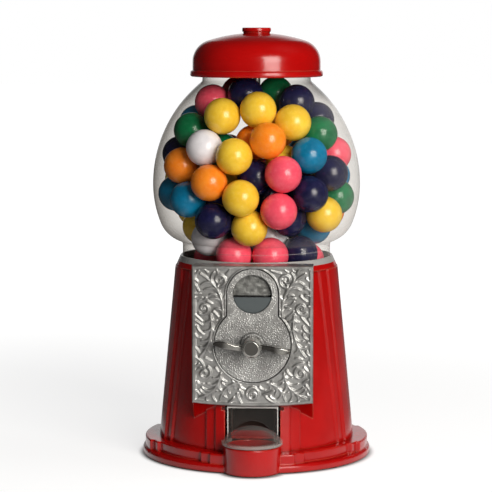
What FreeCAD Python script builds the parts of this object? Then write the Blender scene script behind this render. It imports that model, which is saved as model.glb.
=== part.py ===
import FreeCAD
import Part
import math
import os

# Driving dimensions in millimetres. The machine's axis is Z, its front faces -Y.
# Levels that the other heights are built up from
ledge_top = 12.0
axis_z = 81.0
body_top = 124.5

# Globe: tangent arcs from the neck to the top ring
globe_wall = 3.0
neck_r = 48.5
neck_h = 10.7
globe_r = 67.9
crown_r = 86.0
corner_r = 20.0
corner_angle = 22.0
neck_fillet = 3.0
top_neck_r = 35.5
top_fillet = 2.5
top_neck_h = 7.5
gasket_t = 1.0
gasket_gap = 0.1
gasket_step = 0.7
lid_gasket_t = 1.2
lid_gasket_play = 0.2

# Hopper, gumball wheel and cut-off guard
ball_r = 11.75
bowl_step = 0.5
bowl_r = neck_r - globe_wall - bowl_step
bowl_wall = 1.8
floor_z = 96.0
collar_width = 4.5
collar_r = neck_r + collar_width
collar_lip = 1.4
collar_top_r = neck_r + collar_lip
collar_h = 7.0
collar_top = body_top + collar_h
groove_rise = 2.0
groove_z = body_top + groove_rise
hub_post_r = 5.5
hub_post_top = 113.0
pockets = 4
pocket_ring_r = 20.0
pocket_play = 0.85
wheel_gap = 0.3
wheel_top = 109.0
wheel_boss_top = 112.5
wheel_rim_gap = 1.6
wheel_boss_foot = 4.0
wheel_boss_rim = 2.0
drop_r = 13.0
guard_z = 120.6
guard_t = 1.6
guard_half_angle = 48.0
guard_skirt = 10.0
guard_skirt_t = 1.2
guard_hub_gap = 3.0
guard_clear_angle = 35.0

# Base casting
foot_h = 0.8
base_r = 75.2
flange_top = 5.5
flange_lip = 1.6
lobe_r = base_r - flange_lip
lobe_out = 4.6
ledge_r = lobe_r - lobe_out
lobe_half = 27.0
lobe_step = 6.0
casting_wall = 2.5
coin_opening_r = 48.0
edge_round = 1.0
cup_round = 0.6

# Take-out cup in front of the base
cup_r = 18.5
cup_wall = 2.2
cup_floor = 2.7
cup_top = 17.5
cup_y = -66.5

# Body casting: a cone with four pilasters, each with a stepped edge
pilaster_foot_r = 64.1
body_lip = 0.4
pilaster_top_r = collar_r + body_lip
panel_depth = 3.0
pilaster_half = 24.0
rib_width = 6.0
pilaster_sides = 4

# Coin plate and the flat pad behind it
plate_half = 38.3
plate_bottom = 43.6
plate_rise = 6.5
plate_top = body_top + plate_rise
plate_front = -63.0
plate_back = -58.5
plate_wall = 2.0
plate_sheet = 1.3
border_w = 3.5
rim_w = 1.8
plate_chamfer = 0.6
hub_round = 0.8
waist_round = 2.0
lip_overlap = 0.5
field_depth = 0.8
boss_height = 1.0
lip_drop = 2.3
pad_slope = 13.0
seat_gap = 0.2

# Coin window and handle
window_z = 113.0
window_r = 12.3
window_ring_r = 16.0
boss_r = 24.0
hub_ring_r = 7.5
hub_ring_h = 2.4
slot_edge_z = 111.0
coin_r = 12.1
coin_track_r = 20.0
coin_play = 0.3

# Handle, shaft and what turns with it
shaft_r = 3.0
run_gap = 0.05
hub_r = 5.8
hub_front = -80.5
wing_reach = 24.3
wing_thick = 4.4
wing_wave = 0.9
wing_root_depth = 5.0
wing_tip_depth = 8.0
wing_forward = 0.5
handle_turn = 4.0
handle_round = 0.6
coin_wheel_r = 22.0
coin_wheel_t = 1.9
mech_half = 30.2
mech_t = 1.5
mech_gap = 0.3
bush_r = 5.0
bush_flange_r = 6.5
bush_flange_t = 1.4
bush_len = 5.0
ratchet_r = 12.0
ratchet_teeth = 12
ratchet_depth = 2.0
ratchet_t = 3.0
ratchet_phase = 110.0
pawl_t = 2.4
pawl_pin_r = 1.5
pawl_x = -13.9
pawl_rise = 11.8
pawl_z = axis_z + pawl_rise
pawl_eye_r = 3.0
pawl_tip_half = 0.5
pawl_lead = 3.0
pawl_cap = 1.0
spring_wire = 0.7
spring_gap = 0.02

# Gear pair: pinion on the shaft, face teeth under the gumball wheel
pinion_teeth = 10
wheel_teeth = 40
tooth_ring_gap = 5.0
gear_module = 2 * (bowl_r - tooth_ring_gap) / wheel_teeth
pinion_width = 5.8
tooth_share = 0.34
tooth_lean = 0.42
tooth_end_gap = 0.4
clip_r = 5.0
clip_t = 0.8

# Chute and its door
chute_r = 13.2
chute_wall = 1.2
chute_bend_z = 62.0
chute_low_z = 44.5
chute_exit_z = 19.2
chute_exit_roof = 46.0
chute_exit_y = -51.0
ear_edge = 1.0
ear_back = 6.0
ear_t = 1.6
ear_tip_gap = 0.5
duct_overrun = 5.0
opening_half = 17.6
opening_top = 44.0
door_half = 16.2
door_t = 1.4
door_arch_r = 13.5
hinge_y = -58.4
hinge_z = 39.2
hinge_pin_r = 1.1
hinge_knuckle_r = 1.5
hinge_pin_reach = 19.4
hood_r = 19.3
hood_crown = 29.5
hood_rim_h = 2.4
hood_rise_z = 20.2
hood_gap = 0.3
hood_round = 0.7

# Heights of the globe follow from the collar and the globe's arcs
neck_z = groove_z + gasket_t
corner_reach = globe_r - corner_r
corner_x = corner_reach * math.cos(math.radians(corner_angle))
corner_drop = corner_reach * math.sin(math.radians(corner_angle))
low_x = neck_r + neck_fillet
low_rise = math.sqrt((corner_r + neck_fillet) ** 2 - (low_x - corner_x) ** 2)
globe_mid_z = neck_z + neck_h + low_rise + corner_drop
crown_x = globe_r - crown_r
top_x = top_neck_r + top_fillet
top_rise = math.sqrt((crown_r + top_fillet) ** 2 - (top_x - crown_x) ** 2)
top_neck_z = globe_mid_z + top_rise + top_neck_h

# Lid and knob, which stand on the globe
lid_rim_r = 43.3
lid_r = 41.8
lid_overlap = 5.7
lid_rim_z = top_neck_z - lid_overlap
lid_bead_h = 4.0
lid_corner_r = 14.3
lid_skirt_h = 9.7
lid_corner_z = lid_rim_z + lid_skirt_h
lid_rise = 4.3
lid_top = lid_corner_z + lid_corner_r + lid_rise
lid_wall = 1.8
lid_seat_grip = 0.5
knob_sink = 1.0
knob_seat_z = lid_top - knob_sink
knob_seat_r = 10.4
knob_r = 9.4
knob_waist_r = 8.7
knob_waist_h = 1.6
knob_step_z = knob_seat_z + knob_waist_h
knob_h = 4.4
knob_top = knob_seat_z + knob_h
knob_round = 0.8
machine_top = knob_top

# Tie rod and fasteners
rod_r = 2.5
rod_bottom = 1.8
rod_cover = 2.0
rod_top = knob_top - rod_cover
rod_gap = 0.2
nut_r = 4.6
nut_h = 4.0
screw_r = 1.5
screw_head_r = 2.6
screw_head_h = 1.1
screw_len = 7.0
boss_pad_r = 4.0

# Bottom cover, coin plug and feet
cover_gap = 0.4
cover_t = 1.5
cover_z = 2.0
dish_r = 13.0
dish_rise = 4.5
cover_screw_inset = 8.5
cover_screw_ring = ledge_r - cover_screw_inset
cover_screw_angles = (20.0, 160.0, 200.0, 340.0)
body_screw_ring = 54.0
plug_y = 40.0
plug_r = 17.5
plug_flange_r = 20.0
plug_h = 4.0
plug_round = 0.6
foot_r = 3.8
foot_edge = 0.8
foot_chamfer = 0.3
foot_ring = base_r - foot_r - foot_edge
foot_sink = 2.0
corner_angles = (45.0, 135.0, 225.0, 315.0)

# The origin is the middle of the footprint, so the axis stands behind it.
axis_shift = (hood_r - cup_y - base_r) / 2


def vec(x, y, z):
    return FreeCAD.Vector(x, y, z)


def box(x0, x1, y0, y1, z0, z1):
    return Part.makeBox(x1 - x0, y1 - y0, z1 - z0, vec(x0, y0, z0))


def post(r, z0, z1, x=0.0, y=0.0):
    return Part.makeCylinder(r, z1 - z0, vec(x, y, z0))


def rod_y(r, y0, y1, x=0.0, z=axis_z):
    return Part.makeCylinder(r, y1 - y0, vec(x, y0, z), vec(0, 1, 0))


def rod_x(r, x0, x1, y, z):
    return Part.makeCylinder(r, x1 - x0, vec(x0, y, z), vec(1, 0, 0))


def ring(r_in, r_out, z0, z1):
    return post(r_out, z0, z1).cut(post(r_in, z0 - 1, z1 + 1))


def cone(r_low, r_high, z0, z1):
    return Part.makeCone(r_low, r_high, z1 - z0, vec(0, 0, z0))


def turned(points, y=0.0):
    # a closed outline of (radius, height) points turned round a vertical axis
    corners = [vec(r, y, z) for r, z in points]
    face = Part.Face(Part.makePolygon(corners + corners[:1]))
    return face.revolve(vec(0, y, 0), vec(0, 0, 1), 360)


def turned_edges(edges):
    face = Part.Face(Part.Wire(edges))
    return face.revolve(vec(0, 0, 0), vec(0, 0, 1), 360)


def slab_yz(points, x0, x1):
    # a closed outline of (y, z) points carried along X
    corners = [vec(x0, y, z) for y, z in points]
    face = Part.Face(Part.makePolygon(corners + corners[:1]))
    return face.extrude(vec(x1 - x0, 0, 0))


def slab_xz(points, y0, y1):
    # a closed outline of (x, z) points carried along Y
    corners = [vec(x, y0, z) for x, z in points]
    face = Part.Face(Part.makePolygon(corners + corners[:1]))
    return face.extrude(vec(0, y1 - y0, 0))


def turn_z(shape, angle):
    copy = shape.copy()
    copy.rotate(vec(0, 0, 0), vec(0, 0, 1), angle)
    return copy


def turn_shaft(shape, angle):
    copy = shape.copy()
    copy.rotate(vec(0, 0, axis_z), vec(0, 1, 0), angle)
    return copy


def on_ring(radius, angle):
    return radius * math.cos(math.radians(angle)), radius * math.sin(math.radians(angle))


def fuse_all(shapes):
    return shapes[0].multiFuse(shapes[1:]).removeSplitter()


def edges_where(shape, test):
    return [edge for edge in shape.Edges if test(edge)]


def rises(edge):
    box_ = edge.BoundBox
    return box_.ZLength > 0.9 * edge.Length and edge.Length > 2.0


def at_height(z):
    return lambda edge: abs(edge.BoundBox.ZMin - z) + abs(edge.BoundBox.ZMax - z) < 1e-4


def pan_screw(head_z, tip_z, x, y):
    # an upright screw with its head at head_z, pointing at tip_z
    way = 1 if tip_z > head_z else -1
    head_end = head_z + way * screw_head_h
    head = post(screw_head_r, min(head_z, head_end), max(head_z, head_end), x, y)
    shank = post(screw_r, min(head_end, tip_z), max(head_end, tip_z), x, y)
    return head.fuse(shank)


def screw_y(head_y, tip_y, x, z):
    # a screw lying along Y, driven forward from behind the plate
    head = rod_y(screw_head_r, head_y - screw_head_h, head_y, x, z)
    return head.fuse(rod_y(screw_r, tip_y, head_y - screw_head_h, x, z))


# Base: flange, stepped ledge and take-out cup
ledge_roof = ledge_top - casting_wall
body_screw_tip = ledge_roof - screw_head_h + screw_len + casting_wall
cavity_r = ledge_r - casting_wall - edge_round
cup_inner_r = cup_r - cup_wall
cover_top = cover_z + cover_t
cover_screw_tip = cover_z - screw_head_h + screw_len


def ledge_outline():
    height = ledge_top - foot_h
    disc = post(ledge_r, foot_h, ledge_top)
    middle_r = (ledge_r + lobe_r) / 2
    pieces = [disc]
    for number in range(pilaster_sides):
        for radius, half in ((lobe_r, lobe_half), (middle_r, lobe_half + lobe_step)):
            strip = Part.makeBox(radius, 2 * half, height, vec(0, -half, foot_h))
            lobe = post(radius, foot_h, ledge_top).common(strip)
            pieces.append(turn_z(lobe, 90 * number))
    ledge = fuse_all(pieces)
    ledge = ledge.makeFillet(edge_round, edges_where(ledge, rises))
    return ledge.makeFillet(0.8 * edge_round, edges_where(ledge, at_height(ledge_top)))


def base_casting():
    flange = post(base_r, foot_h, flange_top)
    flange = flange.makeFillet(1.8 * edge_round, edges_where(flange, at_height(flange_top)))
    cup = post(cup_r, foot_h, cup_top, 0, cup_y)
    cup = cup.makeFillet(cup_round, edges_where(cup, at_height(cup_top)))
    shell = fuse_all([flange, ledge_outline(), cup])
    cavity = post(cavity_r, foot_h - 1, ledge_roof)
    cavity = cavity.fuse(post(coin_opening_r, ledge_roof - 1, ledge_top + 1))
    for angle in cover_screw_angles:
        x, y = on_ring(cover_screw_ring, angle)
        cavity = cavity.cut(post(boss_pad_r, cover_top, ledge_roof, x, y))
    cavity = cavity.cut(post(cup_r, 0, cup_top, 0, cup_y))
    shell = shell.cut(cavity)
    shell = shell.cut(post(cup_inner_r, foot_h + cup_floor, cup_top + 1, 0, cup_y))
    for angle in corner_angles:
        x, y = on_ring(foot_ring, angle)
        shell = shell.cut(post(foot_r, foot_h - 1, foot_h + foot_sink, x, y))
        x, y = on_ring(body_screw_ring, angle)
        shell = shell.cut(post(screw_r, ledge_roof - 1, ledge_top + 1, x, y))
    for angle in cover_screw_angles:
        x, y = on_ring(cover_screw_ring, angle)
        shell = shell.cut(post(screw_r, cover_top - 1, cover_screw_tip, x, y))
    return shell


def bottom_cover():
    r = cavity_r - cover_gap
    dish_low = dish_r + dish_rise
    plate = turned([
        (rod_r + rod_gap, cover_z + dish_rise), (dish_r, cover_z + dish_rise), (dish_low, cover_z),
        (r, cover_z), (r, cover_top), (dish_low, cover_top),
        (dish_r, cover_top + dish_rise), (rod_r + rod_gap, cover_top + dish_rise)])
    plate = plate.cut(post(cup_r + cover_gap, 0, cup_top, 0, cup_y))
    plate = plate.cut(post(plug_r, 0, cover_top + 1, 0, plug_y))
    for angle in cover_screw_angles:
        x, y = on_ring(cover_screw_ring, angle)
        plate = plate.cut(post(screw_r, 0, cover_top + 1, x, y))
    return plate


def coin_plug():
    stem = post(plug_r - run_gap, cover_z, cover_z + plug_h, 0, plug_y)
    stem = stem.makeFillet(plug_round, edges_where(stem, at_height(cover_z + plug_h)))
    flange = post(plug_flange_r, foot_h, cover_z - run_gap, 0, plug_y)
    hollow = post(plug_r - 3 * cover_t, cover_z + cover_t, cover_z + plug_h + 1, 0, plug_y)
    neck = post(plug_r - run_gap, cover_z - run_gap, cover_z, 0, plug_y)
    return fuse_all([stem, neck, flange]).cut(hollow)


def rubber_feet():
    feet = []
    for angle in corner_angles:
        x, y = on_ring(foot_ring, angle)
        foot = post(foot_r, 0, foot_h + foot_sink, x, y)
        feet.append(foot.makeChamfer(foot_chamfer, edges_where(foot, at_height(0))))
    return Part.makeCompound(feet)


def cover_screws():
    screws = []
    for angle in cover_screw_angles:
        x, y = on_ring(cover_screw_ring, angle)
        screws.append(pan_screw(cover_z - screw_head_h, cover_screw_tip, x, y))
    return Part.makeCompound(screws)


def body_screws():
    screws = []
    for angle in corner_angles:
        x, y = on_ring(body_screw_ring, angle)
        screws.append(pan_screw(ledge_roof - screw_head_h, body_screw_tip, x, y))
    return Part.makeCompound(screws)


# Body: cone, pilasters, pad for the coin plate and the chute opening
panel_foot_r = pilaster_foot_r - panel_depth
panel_top_r = pilaster_top_r - panel_depth
rib_depth = panel_depth / 2
mech_open_half = mech_half + mech_gap
mech_bottom = plate_bottom + plate_wall + border_w


def pilaster(drop, half):
    solid = cone(pilaster_foot_r - drop, pilaster_top_r - drop, ledge_top, body_top)
    return solid.common(box(0, base_r, -half, half, ledge_top, body_top))


def body_outside():
    pieces = [cone(panel_foot_r, panel_top_r, ledge_top, body_top)]
    for number in range(pilaster_sides):
        for drop, half in ((0, pilaster_half), (rib_depth, pilaster_half + rib_width)):
            pieces.append(turn_z(pilaster(drop, half), 90 * number))
    outside = fuse_all(pieces)
    tall = 0.8 * (body_top - ledge_top)
    return outside.makeFillet(0.6 * rib_depth, edges_where(outside, lambda e: e.BoundBox.ZLength > tall))


def plate_pad():
    half = plate_half
    low = plate_bottom - seat_gap
    outline = [(plate_back, low), (plate_back, body_top), (0, body_top), (0, low - pad_slope),
               (plate_back + pad_slope, low - pad_slope)]
    return slab_yz(outline, -half, half)


def body_casting():
    low = plate_bottom - seat_gap
    shell = body_outside().fuse(plate_pad())
    inside = cone(panel_foot_r - casting_wall, panel_top_r - casting_wall, ledge_top, body_top)
    inside = inside.common(post(base_r, ledge_top - 1, body_top - casting_wall))
    inside = inside.fuse(post(bowl_r + bowl_wall + 2 * seat_gap, body_top - casting_wall - 1, body_top + 1))
    pad_half = plate_half - casting_wall
    pad_inside = plate_back + casting_wall
    inside = inside.fuse(box(-pad_half, pad_half, pad_inside, 0, low, body_top - casting_wall))
    for angle in corner_angles:
        x, y = on_ring(body_screw_ring, angle)
        pillar = post(boss_pad_r + 1, ledge_top, body_screw_tip + casting_wall, x, y)
        inside = inside.cut(pillar.cut(post(screw_r, ledge_top - 1, body_screw_tip, x, y)))
    shell = shell.cut(inside)
    shell = shell.cut(plate_slab(-seat_gap, -2 * base_r, plate_back))
    shell = shell.cut(box(-mech_open_half, mech_open_half, -base_r, plate_back + 2 * casting_wall,
                          mech_bottom, body_top + 1))
    shell = shell.cut(box(-opening_half, opening_half, -base_r, chute_exit_y, ledge_top - 1, opening_top))
    shell = shell.cut(post(cup_r + hood_gap, ledge_top - 1, cup_top + hood_gap, 0, cup_y))
    reach = hinge_pin_reach + mech_gap
    shell = shell.cut(rod_x(hinge_pin_r + run_gap, -reach, reach, hinge_y, hinge_z))
    for x, z in plate_screw_places():
        shell = shell.cut(rod_y(screw_r, plate_back - 1, plate_back + 2 * casting_wall, x, z))
    return shell


def plate_screw_places():
    x = (mech_open_half + plate_half - casting_wall) / 2
    return [(side * x, axis_z + rise) for side in (-1, 1) for rise in (-mech_half + 5, mech_half - 5)]


# Coin plate: a cast tray with a raised keyhole boss and a half-moon coin slot
field_y = plate_front + field_depth
sheet_back = field_y + plate_sheet
boss_y = field_y - boss_height
mech_front = sheet_back + 2 * mech_gap + coin_wheel_t
mech_back = mech_front + mech_t
guide_r = coin_track_r + coin_r + coin_play
guide_w = 2.8
mech_post_r = 2.6
lip_t = 1.0
mech_post_place = mech_half - mech_post_r - 0.6


def plate_outline(inset, y):
    half = plate_half - inset
    low = plate_bottom + inset
    high = plate_top - inset
    corners = [vec(half, y, low), vec(half, y, high), vec(-half, y, high), vec(-half, y, low)]
    edges = [Part.makeLine(a, b) for a, b in zip(corners, corners[1:])]
    edges.append(Part.Arc(corners[-1], vec(0, y, low - lip_drop), corners[0]).toShape())
    return Part.Face(Part.Wire(edges))


def plate_slab(inset, y0, y1):
    return plate_outline(inset, y0).extrude(vec(0, y1 - y0, 0))


def keyhole_boss():
    rim = rod_y(window_ring_r, boss_y, field_y, 0, window_z)
    disc = rod_y(boss_r, boss_y, field_y)
    neck = box(-window_ring_r, window_ring_r, boss_y, field_y, axis_z, window_z)
    boss = fuse_all([rim, disc, neck])
    waist = edges_where(boss, lambda e: e.BoundBox.YLength > 0.9 * boss_height
                        and e.BoundBox.ZMin > axis_z and abs(e.BoundBox.XMin) < boss_r
                        and e.BoundBox.ZMax < window_z - 1)
    return boss.makeFillet(waist_round, waist)


def top_flange():
    flange = box(-plate_half, plate_half, plate_back, plate_back + 2 * border_w + casting_wall,
                 plate_top - plate_wall, plate_top)
    widen = seat_gap
    return flange.cut(cone(collar_r + widen, collar_top_r + widen, body_top, collar_top))


def mech_post_places():
    return [(side * mech_post_place, axis_z + rise)
            for side in (-1, 1) for rise in (-mech_post_place, mech_post_place)]


def coin_plate():
    tray = plate_slab(0, plate_front, plate_back)
    tray = tray.makeChamfer(plate_chamfer, edges_where(tray, lambda e: e.BoundBox.YMax < plate_front + 1e-4))
    tray = tray.cut(plate_slab(rim_w, plate_front - 1, field_y))
    tray = tray.cut(plate_slab(plate_wall, sheet_back, plate_back + 1))
    hub = rod_y(hub_ring_r, boss_y - hub_ring_h, field_y)
    hub = hub.makeFillet(hub_round, edges_where(hub, lambda e: e.BoundBox.YMax < field_y - 1))
    plate = fuse_all([tray, keyhole_boss(), hub, top_flange()])
    plate = plate.cut(rod_y(window_r, boss_y - 1, plate_back, 0, window_z))
    lip = rod_y(window_r + lip_overlap, sheet_back - lip_t, sheet_back, 0, window_z)
    plate = plate.fuse(lip.cut(box(-base_r, base_r, -base_r, 0, slot_edge_z, plate_top)))
    for x, z in mech_post_places():
        pillar = rod_y(mech_post_r, sheet_back, mech_front, x, z)
        plate = plate.fuse(pillar.cut(rod_y(screw_r, sheet_back, mech_front, x, z)))
    for x, z in plate_screw_places():
        pillar = rod_y(mech_post_r, sheet_back, plate_back, x, z)
        plate = plate.fuse(pillar.cut(rod_y(screw_r, sheet_back, plate_back, x, z)))
    return plate.cut(rod_y(shaft_r + run_gap, -base_r - cup_r, 0))


def plate_screws():
    head_y = plate_back + casting_wall + screw_head_h
    return Part.makeCompound([screw_y(head_y, sheet_back, x, z) for x, z in plate_screw_places()])


def mech_screws():
    head_y = mech_back + screw_head_h
    return Part.makeCompound([screw_y(head_y, sheet_back, x, z) for x, z in mech_post_places()])


def coin_guide():
    # the coin rolls inside this ring, in at the top and out at the bottom
    outside = rod_y(guide_r + guide_w, sheet_back, plate_back)
    guide = outside.cut(rod_y(guide_r, sheet_back - 1, plate_back + 1))
    way_in = coin_r + coin_play
    guide = guide.cut(box(-way_in, way_in, -base_r, 0, axis_z, plate_top))
    return guide.cut(box(-way_in - guide_w, way_in + guide_w, -base_r, 0, 0, axis_z))


def mech_plate():
    plate = box(-mech_half, mech_half, mech_front, mech_back, mech_bottom + mech_gap, body_top - 1)
    way_out = coin_r + 2 * guide_w
    plate = plate.cut(box(-way_out, way_out, -base_r, 0, 0, axis_z - bush_flange_r - 1))
    for x, z in mech_post_places():
        plate = plate.cut(rod_y(screw_r, -base_r, 0, x, z))
    plate = plate.cut(rod_y(pawl_pin_r, -base_r, 0, pawl_x, pawl_z))
    return plate.cut(rod_y(bush_r, -base_r, 0))


def shaft_bushing():
    bush = rod_y(bush_r, mech_front, mech_front + bush_len)
    bush = bush.fuse(rod_y(bush_flange_r, mech_back, mech_back + bush_flange_t))
    return bush.removeSplitter().cut(rod_y(shaft_r + run_gap, -base_r, 0))


# Handle, shaft, coin wheel, ratchet and pinion: these turn together
ratchet_y = mech_front + bush_len + mech_gap
wheel_pitch_r = gear_module * wheel_teeth / 2
pinion_pitch_r = gear_module * pinion_teeth / 2
pinion_y = -wheel_pitch_r - pinion_width / 2
clip_y = pinion_y + pinion_width + mech_gap
shaft_back = clip_y + 2 * clip_t
shaft_front = hub_front + casting_wall
handle_back = boss_y - hub_ring_h - mech_gap
wing_y = (hub_front + handle_back) / 2 - wing_forward


def spline(points):
    curve = Part.BSplineCurve()
    curve.interpolate(points)
    return curve.toShape()


def wing_edge(side, y):
    # one long edge of the wavy bar, the same after half a turn about the hub
    half = wing_thick / 2
    shape = ((-1.0, 0.35, 0.6), (-0.8, 0.95, 1.0), (-0.4, 0.72, -0.8), (0.0, 1.0, 0.0),
             (0.4, 0.72, 0.8), (0.8, 0.95, -1.0), (1.0, 0.35, -0.6))
    return [vec(wing_reach * along, y, axis_z + side * half * thick + wing_wave * wave)
            for along, thick, wave in shape]


def handle():
    deep = wing_tip_depth
    y = wing_y - deep
    upper = wing_edge(1, y)
    lower = wing_edge(-1, y)
    outline = Part.Wire([spline(upper), Part.makeLine(upper[-1], lower[-1]), spline(lower[::-1]),
                         Part.makeLine(lower[0], upper[0])])
    bar = Part.Face(outline).extrude(vec(0, 2 * deep, 0))
    tip, root = wing_tip_depth / 2, wing_root_depth / 2
    reach = wing_reach + 1
    full = 0.8 * wing_reach
    bow = ((-reach, 0.6 * tip), (-full, tip), (0, root), (full, tip), (reach, 0.6 * tip))
    front = [vec(x, wing_y - d, 0) for x, d in bow]
    back = [vec(x, wing_y + d, 0) for x, d in reversed(bow)]
    plan = Part.Wire([spline(front), Part.makeLine(front[-1], back[0]), spline(back),
                      Part.makeLine(back[-1], front[0])])
    wings = bar.common(Part.Face(plan).extrude(vec(0, 0, plate_top)))
    wings = wings.makeFillet(handle_round, wings.Edges)
    hub = rod_y(hub_r, hub_front, handle_back)
    hub = hub.makeFillet(handle_round, edges_where(hub, lambda e: e.BoundBox.YMax < handle_back - 1))
    key = fuse_all([hub, wings])
    key = turn_shaft(key, handle_turn)
    return key.cut(rod_y(shaft_r, shaft_front, 0))


def handle_shaft():
    return rod_y(shaft_r, shaft_front, shaft_back)


def coin_wheel():
    y = sheet_back + mech_gap
    wheel = rod_y(coin_wheel_r, y, y + coin_wheel_t)
    pocket = rod_y(coin_r + coin_play, y - 1, y + coin_wheel_t + 1, 0, axis_z + coin_track_r)
    return wheel.cut(pocket).cut(rod_y(shaft_r, y - 1, y + coin_wheel_t + 1))


def ratchet_wheel():
    step = 2 * math.pi / ratchet_teeth
    phase = math.radians(ratchet_phase)
    corners = []
    for tooth in range(ratchet_teeth):
        angle = phase + tooth * step
        for radius in (ratchet_r, ratchet_r - ratchet_depth):
            corners.append((radius * math.cos(angle), axis_z + radius * math.sin(angle)))
    disc = slab_xz(corners, ratchet_y, ratchet_y + ratchet_t)
    return disc.cut(rod_y(shaft_r, ratchet_y - 1, ratchet_y + ratchet_t + 1))


def trapezoid_tooth(low_half, low, high_half, high, y0, y1):
    return slab_xz([(-low_half, low), (low_half, low), (high_half, high), (-high_half, high)], y0, y1)


tooth_half = tooth_share * math.pi * gear_module / 2
tooth_root = 1.25 * gear_module
tooth_foot_half = tooth_half + tooth_lean * tooth_root
tooth_tip_half = tooth_half - 0.8 * tooth_lean * gear_module


def drive_gear():
    root_r = pinion_pitch_r - tooth_root
    back = pinion_y + pinion_width
    gear = rod_y(root_r, pinion_y, back)
    tooth = trapezoid_tooth(tooth_foot_half, axis_z + root_r - 1, tooth_tip_half,
                            axis_z + pinion_pitch_r + gear_module, pinion_y, back)
    teeth = [turn_shaft(tooth, 360.0 * number / pinion_teeth) for number in range(pinion_teeth)]
    return fuse_all([gear] + teeth).cut(rod_y(shaft_r, pinion_y - 1, back + 1))


def shaft_clip():
    clip = rod_y(clip_r, clip_y, clip_y + clip_t).cut(rod_y(shaft_r, clip_y - 1, clip_y + clip_t + 1))
    return clip.cut(box(-shaft_r / 2, shaft_r / 2, -base_r, 0, 0, axis_z))


# Pawl with its pin and spring, above and left of the shaft
def pawl():
    y = ratchet_y + (ratchet_t - pawl_t) / 2
    tip_angle = math.radians(ratchet_phase + pawl_lead)
    tip_r = ratchet_r + mech_gap + pawl_tip_half
    tip_x = tip_r * math.cos(tip_angle)
    tip_z = axis_z + tip_r * math.sin(tip_angle)
    run = math.hypot(tip_x - pawl_x, tip_z - pawl_z)
    across_x = -(tip_z - pawl_z) / run
    across_z = (tip_x - pawl_x) / run
    wide = 0.8 * pawl_eye_r
    corners = [(pawl_x + wide * across_x, pawl_z + wide * across_z),
               (tip_x + pawl_tip_half * across_x, tip_z + pawl_tip_half * across_z),
               (tip_x - pawl_tip_half * across_x, tip_z - pawl_tip_half * across_z),
               (pawl_x - wide * across_x, pawl_z - wide * across_z)]
    finger = slab_xz(corners, y, y + pawl_t)
    arm = finger.fuse(rod_y(pawl_eye_r, y, y + pawl_t, pawl_x, pawl_z)).removeSplitter()
    return arm.cut(rod_y(pawl_pin_r + run_gap, y - 1, y + pawl_t + 1, pawl_x, pawl_z))


def pawl_pin():
    pin_end = ratchet_y + ratchet_t
    pin = rod_y(pawl_pin_r, mech_front, pin_end, pawl_x, pawl_z)
    cap = rod_y(pawl_eye_r, pin_end, pin_end + pawl_cap, pawl_x, pawl_z)
    return pin.fuse(cap)


def pawl_spring():
    # close turns of wire round the pin, between the plate and the pawl
    coil_r = pawl_pin_r + spring_wire
    first = mech_back + spring_wire / 2
    room = ratchet_y - mech_back - mech_gap - spring_wire
    turns = int(room / spring_wire)
    wire_r = (spring_wire - spring_gap) / 2
    places = [vec(pawl_x, first + spring_wire * turn, pawl_z) for turn in range(turns)]
    return Part.makeCompound([Part.makeTorus(coil_r, wire_r, place, vec(0, 1, 0)) for place in places])


# Hopper: collar, bowl, channel for the wheel's teeth, floor and hub post
bowl_out = bowl_r + bowl_wall
tooth_top = axis_z + pinion_pitch_r + tooth_root
tooth_tip = axis_z + pinion_pitch_r - gear_module
channel_z = axis_z + shaft_r + bowl_wall + 2 * mech_gap
channel_in = wheel_pitch_r - pinion_width / 2 - wheel_gap
floor_low = floor_z - bowl_wall
groove_r = neck_r + wheel_gap
rod_hole_r = rod_r + rod_gap


def hopper():
    shell = turned([
        (rod_hole_r, floor_low), (channel_in - bowl_wall, floor_low),
        (channel_in - bowl_wall, channel_z - bowl_wall), (bowl_out, channel_z - bowl_wall),
        (bowl_out, body_top), (collar_r, body_top), (collar_top_r, collar_top), (groove_r, collar_top),
        (groove_r, groove_z), (bowl_r, groove_z), (bowl_r, channel_z), (channel_in, channel_z),
        (channel_in, floor_z), (hub_post_r, floor_z), (hub_post_r, hub_post_top),
        (rod_hole_r, hub_post_top)])
    shell = shell.cut(post(drop_r, floor_low - 1, floor_z + 1, 0, -pocket_ring_r))
    slot_rise = channel_z - bowl_wall - axis_z
    slot_half = math.sqrt((pinion_pitch_r + gear_module) ** 2 - slot_rise ** 2) + mech_gap
    slot_y = pinion_y - mech_gap
    slot = box(-slot_half, slot_half, slot_y, shaft_back + mech_gap, axis_z, channel_z + 1)
    shell = shell.cut(slot)
    for x in ear_places():
        shell = shell.cut(post(screw_r, floor_low - 1, ear_screw_tip, x, ear_y))
    return shell


ear_x = chute_r + chute_wall + screw_head_r + ear_edge
ear_y = -pocket_ring_r + ear_back
ear_screw_tip = floor_z - ear_tip_gap


def ear_places():
    return [-ear_x, ear_x]


def globe_gasket():
    return ring(bowl_r + gasket_step, neck_r - gasket_gap, groove_z, groove_z + gasket_t)


# Gumball wheel: pockets carry one gumball each, face teeth below its rim
pocket_r = ball_r + pocket_play
wheel_r = bowl_r - wheel_rim_gap


def face_teeth():
    low = trapezoid_tooth(tooth_tip_half, tooth_tip, tooth_foot_half, tooth_top,
                          pinion_y + tooth_end_gap, pinion_y + pinion_width - tooth_end_gap)
    step = 360.0 / wheel_teeth
    return [turn_z(low, step * (number + 0.5)) for number in range(wheel_teeth)]


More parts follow.
